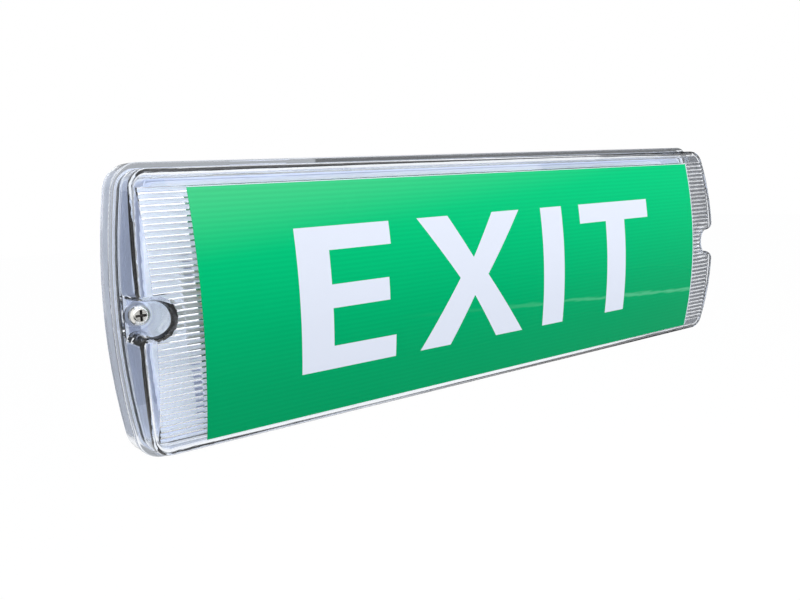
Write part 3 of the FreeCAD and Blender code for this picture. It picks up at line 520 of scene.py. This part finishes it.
def film_sheet(radius, axis_y):
    points, faces = cut_fields([sheet_outline, printed_outline, *letters])
    work = bmesh.new()
    corners = {}
    for face, origin in faces:
        for index in face:
            if index not in corners:
                x, z = points[index]
                z += film_middle_z / mm
                corners[index] = work.verts.new(Vector((x, arch_y(z, radius, axis_y), z)) * mm)
        piece = work.faces.new([corners[index] for index in face])
        inked = 1 in origin and len(origin) == 2      # in the printed field and in no letter
        piece.material_index = 0 if inked else 1
        piece.smooth = True
    back = bmesh.ops.extrude_face_region(work, geom=list(work.faces), use_keep_orig=True)["geom"]
    for vertex in (g for g in back if isinstance(g, bmesh.types.BMVert)):
        vertex.co.y = arch_y(vertex.co.z / mm, radius - film_thickness, axis_y) * mm
    bmesh.ops.recalc_face_normals(work, faces=list(work.faces))
    for edge in work.edges:
        edge.smooth = edge.calc_face_angle(0.0) < sharp_turn
    mesh = bpy.data.meshes.new("legend_sheet")
    work.to_mesh(mesh)
    work.free()
    return mesh


# The film's box gives its crown and how far its lower edge lies back. The radius that follows
# from them is printed beside the one used, which is the cover's arch with glue and film on it.
front_radius = 203.6
crown_y = film_low.y / mm
drop = film_high.y / mm - crown_y
reach = film_low.z / mm
print("arch radius, mm:", front_radius, "from the film's sag:",
      round((reach ** 2 + drop ** 2) / (2 * drop), 1))
sheet = bpy.data.objects.new("legend_sheet", film_sheet(front_radius, crown_y + front_radius))
bpy.context.scene.collection.objects.link(sheet)
print("film faces:", len(sheet.data.polygons))

# %% [markdown]
# The ink is an even screen-printed green under a satin laminate. Its tone drifts a little in level
# bands where the squeegee passed, which a noise stretched along the film gives. Painted light makes
# the green lighter upwards and palest in the upper left corner, where more light falls. Faint level
# lines of painted shadow, as from the cover's ribs, cross the laminate, and one soft painted
# highlight runs along its right half.

# %% Film finishes
# Painted highlight: a lighter green line laid along the film's right half.
highlight_line_start = Vector((47 * mm, 0, -20.5 * mm))
highlight_line_fall, highlight_line_width = 0.06, 1.4 * mm
highlight_line_wander, highlight_line_wander_scale = 3.0 * mm, 18.0
highlight_line_from, highlight_line_full = -70 * mm, 135 * mm
highlight_line_strength, highlight_line_green = 0.38, (0.25, 0.78, 0.48, 1.0)
# Painted light: the green brightens towards the upper left corner.
lit_corner_from, lit_corner_full, lit_corner_lean = 0.030, 0.066, 0.10
lit_corner_green = (0.07, 0.65, 0.27, 1.0)
# Painted shadow: faint darker level lines, as from the cover's ribs.
rib_shadow_line_pitch, rib_shadow_line_strength = 1.9, 0.06


def on_highlight_line(tree, place):
    """1 on the painted highlight, a thin, slightly wavy line that falls a little to the right; 0
    beside it and left.
    """
    wander = add(tree, "ShaderNodeTexNoise", [("Scale", highlight_line_wander_scale), ("Detail", 2.0)])
    shift = math_node(tree, "MULTIPLY", math_node(tree, "SUBTRACT", wander.outputs["Fac"], 0.5),
                      highlight_line_wander)
    fall = math_node(tree, "MULTIPLY", math_node(tree, "SUBTRACT", place["X"], highlight_line_start.x),
                     highlight_line_fall)
    height = math_node(tree, "ADD", math_node(tree, "SUBTRACT", place["Z"], highlight_line_start.z), fall)
    away = math_node(tree, "ABSOLUTE", math_node(tree, "ADD", height, shift))
    line = ramp(tree, away, highlight_line_width, 0.0, smooth=True)
    along = ramp(tree, place["X"], highlight_line_from, highlight_line_full, smooth=True)
    return math_node(tree, "MULTIPLY", line, along)


def printed(name, colour, tone, lit_top_colour=None):
    """Film finish; given the colour at its upper edge, it also gets painted light and shade:
    lighter upwards and in the upper left corner, faint shadow lines and a highlight line.
    """
    material = opaque(name, colour, 0.28, grain_mm=0.5, drift_mm=30, tone=tone, bump_mm=0.004,
                      stretch=(0.12, 1, 1), shine=0.03)
    if lit_top_colour:
        tree = material.node_tree
        surface = tree.nodes["Principled BSDF"]
        even = surface.inputs["Base Color"].links[0].from_socket
        place = parts_of(tree, coordinate(tree))
        # Painted light: the green grows lighter upwards.
        height = ramp(tree, place["Z"], film_low.z, film_high.z, smooth=True)
        thin = blend(tree, height, even, tuple(lit_top_colour) + (1.0,))
        # Painted light: palest in the upper left corner.
        leaning = math_node(tree, "SUBTRACT", place["Z"],
                            math_node(tree, "MULTIPLY", place["X"], lit_corner_lean))
        corner = ramp(tree, leaning, lit_corner_from, lit_corner_full, smooth=True)
        pale = blend(tree, corner, thin, lit_corner_green)
        # Painted shadow: faint darker level lines multiplied over the green.
        lines = add(tree, "ShaderNodeTexWave", wave_type="BANDS", bands_direction="Z", links=[
            ("Vector", coordinate(tree)), ("Scale", math.pi / (10 * rib_shadow_line_pitch * mm)),
            ("Distortion", 0.6), ("Detail", 1.0)])
        lined = blend(tree, rib_shadow_line_strength, pale, lines.outputs["Color"], "MULTIPLY")
        # Painted highlight: a lighter green line on the right half.
        share = math_node(tree, "MULTIPLY", on_highlight_line(tree, place), highlight_line_strength)
        lit = blend(tree, share, lined, highlight_line_green)
        tree.links.new(lit, surface.inputs["Base Color"])
    return material


# The colour given for the upper edge is painted light.
finishes["green_film"] = printed("green_film", (0.0, 0.375, 0.135), 0.05,
                                 lit_top_colour=(0.0, 0.60, 0.215))
finishes["film_white"] = printed("film_white", (0.79, 0.84, 0.96), 0.02)
sheet.data.materials.append(finishes["green_film"])
sheet.data.materials.append(finishes["film_white"])
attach(sheet, "housing")
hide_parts("legend_film")
print("film finishes:", [m.name for m in sheet.data.materials])

# %% [markdown]
# ## Rows of small things on the boards
# Each LED carries a low bead of clear silicone with phosphor in it, and each has a bright solder
# pad at either end. They repeat at one pitch, so Geometry Nodes sets them out: a line of points,
# one small shape instanced on each, and the instances made real, because an export keeps only
# real meshes. The LED solids themselves say where the line starts and how long its steps are.

# %% Where the LEDs are
chip_low, board_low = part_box("led_chips")[0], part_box("led_board")[0]
chip_ends = sorted({round(vertex.co.x / mm, 2) for vertex in nodes["led_chips"].data.vertices})
chip_length = chip_ends[1] - chip_ends[0]
chip_pitch = chip_ends[2] - chip_ends[0]
chip_count = len(chip_ends) // 2
print("LEDs:", chip_count, "pitch", round(chip_pitch, 2), "mm, length", round(chip_length, 2), "mm")

# %% A tree that repeats one shape along a line


def start_shape_tree(name, inputs):
    """A geometry tree with these named inputs, a finish, and one geometry output."""
    tree = bpy.data.node_groups.new(name, "GeometryNodeTree")
    for label, kind in (*inputs, ("Finish", "NodeSocketMaterial")):
        tree.interface.new_socket(name=label, in_out="INPUT", socket_type=kind)
    tree.interface.new_socket(name="Geometry", in_out="OUTPUT", socket_type="NodeSocketGeometry")
    return tree, tree.nodes.new("NodeGroupInput")


def end_shape_tree(tree, start, geometry):
    """Makes the geometry real, gives it the finish, and sends it out."""
    real = add(tree, "GeometryNodeRealizeInstances", [("Geometry", geometry)])
    finish = add(tree, "GeometryNodeSetMaterial", [
        ("Geometry", real.outputs["Geometry"]), ("Material", start.outputs["Finish"])])
    end = tree.nodes.new("NodeGroupOutput")
    tree.links.new(finish.outputs["Geometry"], end.inputs["Geometry"])
    return tree


def row_tree(name, make_shape):
    """A line of Count shapes from Start by Step; make_shape(tree) gives one shape's socket."""
    tree, start = start_shape_tree(name, [
        ("Count", "NodeSocketInt"), ("Start", "NodeSocketVector"), ("Step", "NodeSocketVector"),
        ("Size", "NodeSocketVector")])
    line = add(tree, "GeometryNodeMeshLine", mode="OFFSET", links=[
        ("Count", start.outputs["Count"]), ("Start Location", start.outputs["Start"]),
        ("Offset", start.outputs["Step"])])
    shape = add(tree, "GeometryNodeTransform", [
        ("Geometry", make_shape(tree)), ("Scale", start.outputs["Size"])])
    placed = add(tree, "GeometryNodeInstanceOnPoints", [
        ("Points", line.outputs["Mesh"]), ("Instance", shape.outputs["Geometry"])])
    return end_shape_tree(tree, start, placed.outputs["Instances"])


def bead_shape(tree):
    ball = add(tree, "GeometryNodeMeshUVSphere", [
        ("Segments", 24), ("Rings", 12), ("Radius", 0.5)])
    smooth = add(tree, "GeometryNodeSetShadeSmooth", [("Geometry", ball.outputs["Mesh"])])
    return smooth.outputs["Geometry"]


def pad_shape(tree):
    """A block, a little smaller at its front, as solder draws back from a pad's edge."""
    block = add(tree, "GeometryNodeMeshCube", [
        ("Size", (1.0, 1.0, 1.0)), ("Vertices X", 3), ("Vertices Z", 3)])
    place = parts_of(tree, add(tree, "GeometryNodeInputPosition").outputs["Position"])
    narrow = ramp(tree, place["Y"], -0.5, 0.5, 0.8, 1.0)
    drawn = add(tree, "ShaderNodeCombineXYZ", [
        (0, math_node(tree, "MULTIPLY", place["X"], narrow)), (1, place["Y"]),
        (2, math_node(tree, "MULTIPLY", place["Z"], narrow))])
    moved = add(tree, "GeometryNodeSetPosition", [
        ("Geometry", block.outputs["Mesh"]), ("Position", drawn.outputs[0])])
    return moved.outputs["Geometry"]


def row_piece(name, tree, finish, **inputs):
    """Runs the tree on an empty mesh and keeps the result as a plain mesh."""
    piece = bpy.data.objects.new(name, bpy.data.meshes.new(name + "_start"))
    bpy.context.scene.collection.objects.link(piece)
    modifier = piece.modifiers.new("row", "NODES")
    modifier.node_group = tree
    inputs["Finish"] = finish
    for socket in tree.interface.items_tree:
        if socket.in_out == "INPUT" and socket.name in inputs:
            modifier[socket.identifier] = inputs[socket.name]
    evaluated = piece.evaluated_get(bpy.context.evaluated_depsgraph_get())
    mesh = bpy.data.meshes.new_from_object(evaluated)
    piece.modifiers.remove(modifier)
    piece.data = mesh
    mesh.name = name
    mesh.materials.clear()          # the tree leaves an empty slot before its own
    mesh.materials.append(finish)
    mesh.polygons.foreach_set("material_index", [0] * len(mesh.polygons))
    return piece


def metres(x, y, z):
    return (x * mm, y * mm, z * mm)


bead_row, pad_row = row_tree("row_of_beads", bead_shape), row_tree("row_of_pads", pad_shape)
print("trees:", bead_row.name, pad_row.name)

# %% [markdown]
# The beads stand 0.2 mm proud of the LEDs, and the pads lie on the board just past each LED's
# ends. The driver board has a row of small resistors in its one free strip, with tinned ends.

# %% Beads, pads and resistors
bead_size = (1.9, 0.4, 1.9)
pad_length, pad_thickness, pad_width = 1.2, 0.2, 1.8
resistor_count, resistor_pitch = 9, 5.0
resistor_first_x, resistor_lift = 35.0, 5.5
resistor_end_shift = 1.35
first_x = (chip_ends[0] + chip_ends[1]) / 2
chip_front, strip_front = chip_low.y / mm, board_low.y / mm
finishes["phosphor_bead"] = opaque("phosphor_bead", (0.93, 0.78, 0.24), 0.12, grain_mm=0.1,
                                   drift_mm=1, coat=0.6)
finishes["solder"] = opaque("solder", (0.72, 0.72, 0.71), 0.3, grain_mm=0.3, drift_mm=1.5,
                            metal=1.0, bump_mm=0.02)
finishes["resistor_black"] = opaque("resistor_black", (0.03, 0.03, 0.035), 0.4, grain_mm=0.15,
                                    tone=0.3)
rows = [row_piece("led_beads", bead_row, finishes["phosphor_bead"], Count=chip_count,
                  Start=metres(first_x, chip_front, 0), Step=metres(chip_pitch, 0, 0),
                  Size=metres(*bead_size))]
for side, name in ((-1, "led_pads_left"), (1, "led_pads_right")):
    pad_x = first_x + side * (chip_length + pad_length) / 2
    rows.append(row_piece(name, pad_row, finishes["solder"], Count=chip_count,
                          Start=metres(pad_x, strip_front - pad_thickness / 2, 0),
                          Step=metres(chip_pitch, 0, 0),
                          Size=metres(pad_length, pad_thickness, pad_width)))
driver_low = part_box("driver_board")[0]
driver_front = driver_low.y / mm
row_z = driver_low.z / mm + resistor_lift
for name, finish, z_shift, size in (
        ("resistor_bodies", "resistor_black", 0.0, (1.6, 0.55, 2.2)),
        ("resistor_ends_low", "solder", -resistor_end_shift, (1.6, 0.6, 0.5)),
        ("resistor_ends_high", "solder", resistor_end_shift, (1.6, 0.6, 0.5))):
    rows.append(row_piece(name, pad_row, finishes[finish], Count=resistor_count,
                          Start=metres(resistor_first_x, driver_front - size[1] / 2,
                                       row_z + z_shift),
                          Step=metres(resistor_pitch, 0, 0), Size=metres(*size)))
for piece in rows:
    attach(piece, "housing")
print("rows:", {piece.name: len(piece.data.polygons) for piece in rows})

# %% [markdown]
# ## The test switch's spring
# Pressing the button closes its return spring by two millimetres. A spring is one wire along a
# helix, so the tree sweeps a small circle along a spiral. It stands for the frame's spring.

# %% Spring
spring_low, spring_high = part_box("switch_spring")
wire_radius, spring_turns = 0.3, 5.0


def spring_tree():
    """One wire swept along a helix."""
    tree, start = start_shape_tree("wire_along_helix", [
        ("Turns", "NodeSocketFloat"), ("Coil Radius", "NodeSocketFloat"),
        ("Height", "NodeSocketFloat"), ("Wire Radius", "NodeSocketFloat"),
        ("Place", "NodeSocketVector")])
    given = start.outputs
    helix = add(tree, "GeometryNodeCurveSpiral", [
        ("Resolution", 28), ("Rotations", given["Turns"]), ("Start Radius", given["Coil Radius"]),
        ("End Radius", given["Coil Radius"]), ("Height", given["Height"])])
    section = add(tree, "GeometryNodeCurvePrimitiveCircle", [
        ("Resolution", 10), ("Radius", given["Wire Radius"])])
    wire = add(tree, "GeometryNodeCurveToMesh", [
        ("Curve", helix.outputs["Curve"]), ("Profile Curve", section.outputs["Curve"]),
        ("Fill Caps", True)])
    placed = add(tree, "GeometryNodeTransform", [
        ("Geometry", wire.outputs["Mesh"]), ("Translation", given["Place"])])
    return end_shape_tree(tree, start, placed.outputs["Geometry"])


spring_middle = (spring_low + spring_high) / 2
spring_height = spring_high.z - spring_low.z
spring = row_piece("return_spring", spring_tree(), finishes["spring_steel"], **{
    "Turns": spring_turns,
    "Coil Radius": (spring_high.x - spring_low.x) / 2 - wire_radius * mm,
    "Height": spring_height - 2 * wire_radius * mm, "Wire Radius": wire_radius * mm,
    "Place": (spring_middle.x, spring_middle.y, spring_low.z + wire_radius * mm)})
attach(spring, "housing")
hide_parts("switch_spring")
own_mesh(spring)
print("spring height, mm:", round(spring_height / mm, 2),
      "faces:", len(spring.data.polygons))

# %% [markdown]
# ## Floor, walls of light and the world
# The light hangs in front of plain white. The world and the floor are white to the camera and to
# whatever glass and metal show. For the light they shed they are lower, so that colours come out
# about as they are written. Four soft lamps add a direction: a large one overhead, a large one in
# front, a small one at the right and a weak one at the left.

# %% World and floor
dome_low, dome_high = 0.20, 0.85      # the dome's level near the ground and overhead
dome_left, dome_right = 0.85, 0.7     # and its share at each side
dome_bottom, dome_top = -0.4, 0.8     # heights between which it brightens
floor_grey, floor_rough = (0.72, 0.73, 0.75, 1.0), 0.9
floor_level, floor_share = 1.05, 0.9  # the white it shows, and how much of it
floor_half_size, floor_drop = 6.0, 0.30


def rays_shown_white(tree):
    return rays_that_see(tree, "Is Camera Ray", "Is Glossy Ray", "Is Transmission Ray")


def backdrop_world():
    """White where it is seen or mirrored; a soft dome, brighter overhead, for all other light."""
    world = bpy.data.worlds.new("studio")
    bpy.context.scene.world = world
    world.use_nodes = True
    tree = world.node_tree
    background = tree.nodes["Background"]
    direction = parts_of(tree, coordinate(tree, "Generated"))
    dome = ramp(tree, direction["Z"], dome_bottom, dome_top, dome_low, dome_high, smooth=True)
    side = ramp(tree, direction["X"], -1.0, 1.0, dome_left, dome_right)
    shed = math_node(tree, "MULTIPLY", dome, side)
    strength = add(tree, "ShaderNodeMix", [(0, rays_shown_white(tree)), (2, shed), (3, 1.0)])
    background.inputs["Color"].default_value = white
    tree.links.new(strength.outputs[0], background.inputs["Strength"])


def floor_material():
    """A pale floor that takes the shadow, mostly shown as white where it is seen or mirrored."""
    material, tree, surface = start_material("pale_floor")
    surface.inputs["Base Color"].default_value = floor_grey
    surface.inputs["Roughness"].default_value = floor_rough
    lit = add(tree, "ShaderNodeEmission", [("Color", white), ("Strength", floor_level)])
    share = math_node(tree, "MULTIPLY", rays_shown_white(tree), floor_share)
    return show_instead(material, share, surface, lit)


def stand(name, corners, material):
    """A flat stage piece with four corners."""
    mesh = bpy.data.meshes.new(name)
    mesh.from_pydata(corners, [], [(0, 1, 2, 3)])
    mesh.materials.append(material)
    piece = bpy.data.objects.new(name, mesh)
    bpy.context.scene.collection.objects.link(piece)


backdrop_world()
floor_z = cad_low.z - floor_drop
stand("floor", [(x * floor_half_size, y * floor_half_size, floor_z)
                for x, y in ((-1, -1), (1, -1), (1, 1), (-1, 1))], floor_material())
print("floor is", round(floor_drop / mm), "mm below the light")

# %% [markdown]
# Clear plastic in front of plain white has hardly an outline. A studio stands grey cards beside
# such an object, out of view, so that its edges and ribs have something darker to bend. The cards
# here are seen only by rays that have met glass or gloss.

# %% Grey cards
card_tint = (0.93, 0.96, 1.0, 1.0)
card_low_z = -0.29


def card_material(level):
    material, tree, _ = start_material("grey_card")
    grey = add(tree, "ShaderNodeEmission", [("Color", card_tint), ("Strength", level)])
    nothing = add(tree, "ShaderNodeBsdfTransparent")
    seen = rays_that_see(tree, "Is Glossy Ray", "Is Transmission Ray")
    return show_instead(material, seen, nothing, grey)


# Each card stands on one level from one ground point to another, up to its own height.
cards = {
    "card_right": ((0.42, -0.02), (0.30, 0.60), 0.25, 0.12),
    "card_back": ((-0.90, 0.60), (0.30, 0.60), 0.35, 0.42),
    "card_front": ((-0.45, -0.7), (0.7, -0.7), -0.10, 0.10),
}
for name, (near, far, high_z, level) in cards.items():
    stand(name, [(*near, card_low_z), (*far, card_low_z), (*far, high_z), (*near, high_z)],
          card_material(level))
print("cards:", len(cards))

# %% [markdown]
# The lamps are rectangles of light, so the shadows stay soft. Each one is aimed at a point on the
# light, and the one overhead is the strongest.

# %% Lamps


def soft_lamp(name, place, aim, width, height, power):
    lamp = bpy.data.lights.new(name, "AREA")
    lamp.shape = "RECTANGLE"
    lamp.size, lamp.size_y, lamp.energy = width, height, power
    holder = bpy.data.objects.new(name, lamp)
    holder.location = place
    holder.rotation_euler = (Vector(aim) - Vector(place)).to_track_quat("-Z", "Y").to_euler()
    bpy.context.scene.collection.objects.link(holder)


lamp_aim = (0, -0.03, 0)
soft_lamp("overhead", (-0.1, -0.6, 1.3), lamp_aim, 1.6, 1.0, 7)
soft_lamp("front", (-0.3, -1.3, 0.45), lamp_aim, 1.2, 0.8, 3.4)
soft_lamp("right", (0.35, -0.60, 0.35), (0.10, -0.05, 0), 0.5, 0.5, 1.2)
soft_lamp("left", (-1.2, -0.7, 0.4), lamp_aim, 0.8, 1.2, 0.8)
bpy.context.scene.view_settings.view_transform = "Standard"
print("lamps:", len(bpy.data.lights))
